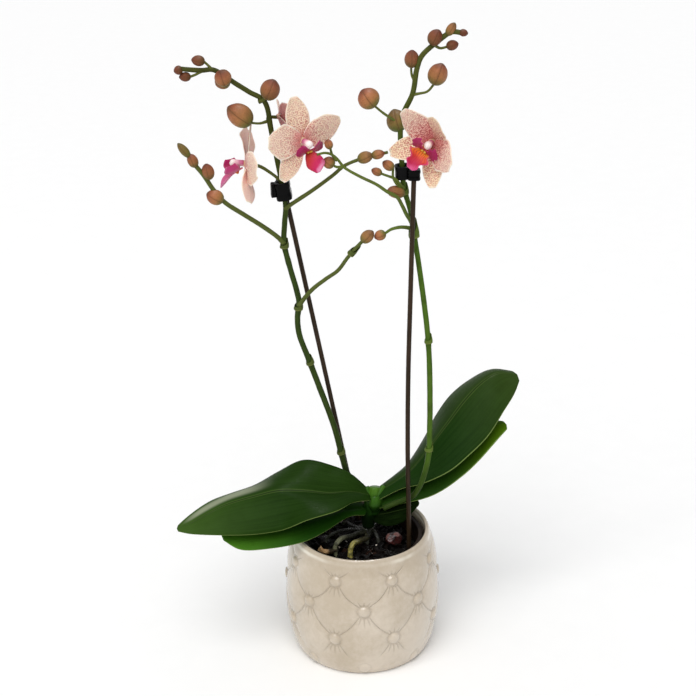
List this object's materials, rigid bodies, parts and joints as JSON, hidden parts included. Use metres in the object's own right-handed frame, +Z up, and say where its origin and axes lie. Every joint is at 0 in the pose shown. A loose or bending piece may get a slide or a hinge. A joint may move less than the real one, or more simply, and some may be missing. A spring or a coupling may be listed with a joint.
{
  "type": "potted miniature moth orchid",
  "caption": "Miniature moth orchid with arching leaves, staked flower spikes, buds and open flowers, in a button-tufted glazed pot.",
  "frame": {"origin": "centre of the pot's foot, on the surface it stands on", "axes": "+Z up along the pot's axis; -Y towards the viewer of the picture, +X to the viewer's right"},
  "size_m": [0.2558, 0.1294, 0.47],
  "materials": {
    "glaze": "glossy off-white glaze over button-tufted relief",
    "cup": "thin dark brown moulded plastic",
    "bark": "coarse dark fir bark, matte and damp",
    "nugget": "red-brown bark lump, wet gloss",
    "root": "grey-green velamen, satin",
    "young": "bright green leaf bases, satin",
    "leaf": "dark green waxy leaf, glossy",
    "stake": "dark brown stained cane, satin",
    "stem": "green flower stem with brown-pink buds, satin",
    "clip": "black moulded plastic, glossy",
    "tepal": "cream petals dotted pink-red, soft satin",
    "lip": "magenta lip with an orange callus, satin",
    "column": "pale pink column with a white cap, satin"
  },
  "bodies": {
    "root": {"ceramic_pot": "glaze", "nursery_pot": "cup", "potting_bark": "bark", "bark_nugget": "nugget", "aerial_roots": "root", "crown": "young", "leaf_left_upper": "leaf", "leaf_left_lower": "leaf", "leaf_right_upper": "leaf", "leaf_right_lower": "leaf", "leaf_right_small": "leaf", "stake_left": "stake", "stake_right": "stake", "spike_left": "stem", "spike_right": "stem", "clip_left": "clip", "clip_right": "clip", "flower_left_front_tepals": "tepal", "flower_left_front_lip": "lip", "flower_left_front_column": "column", "flower_left_side_tepals": "tepal", "flower_left_side_lip": "lip", "flower_left_side_column": "column", "flower_left_back_tepals": "tepal", "flower_left_back_lip": "lip", "flower_left_back_column": "column", "flower_right_front_tepals": "tepal", "flower_right_front_lip": "lip", "flower_right_front_column": "column"}
  },
  "joints": []
}
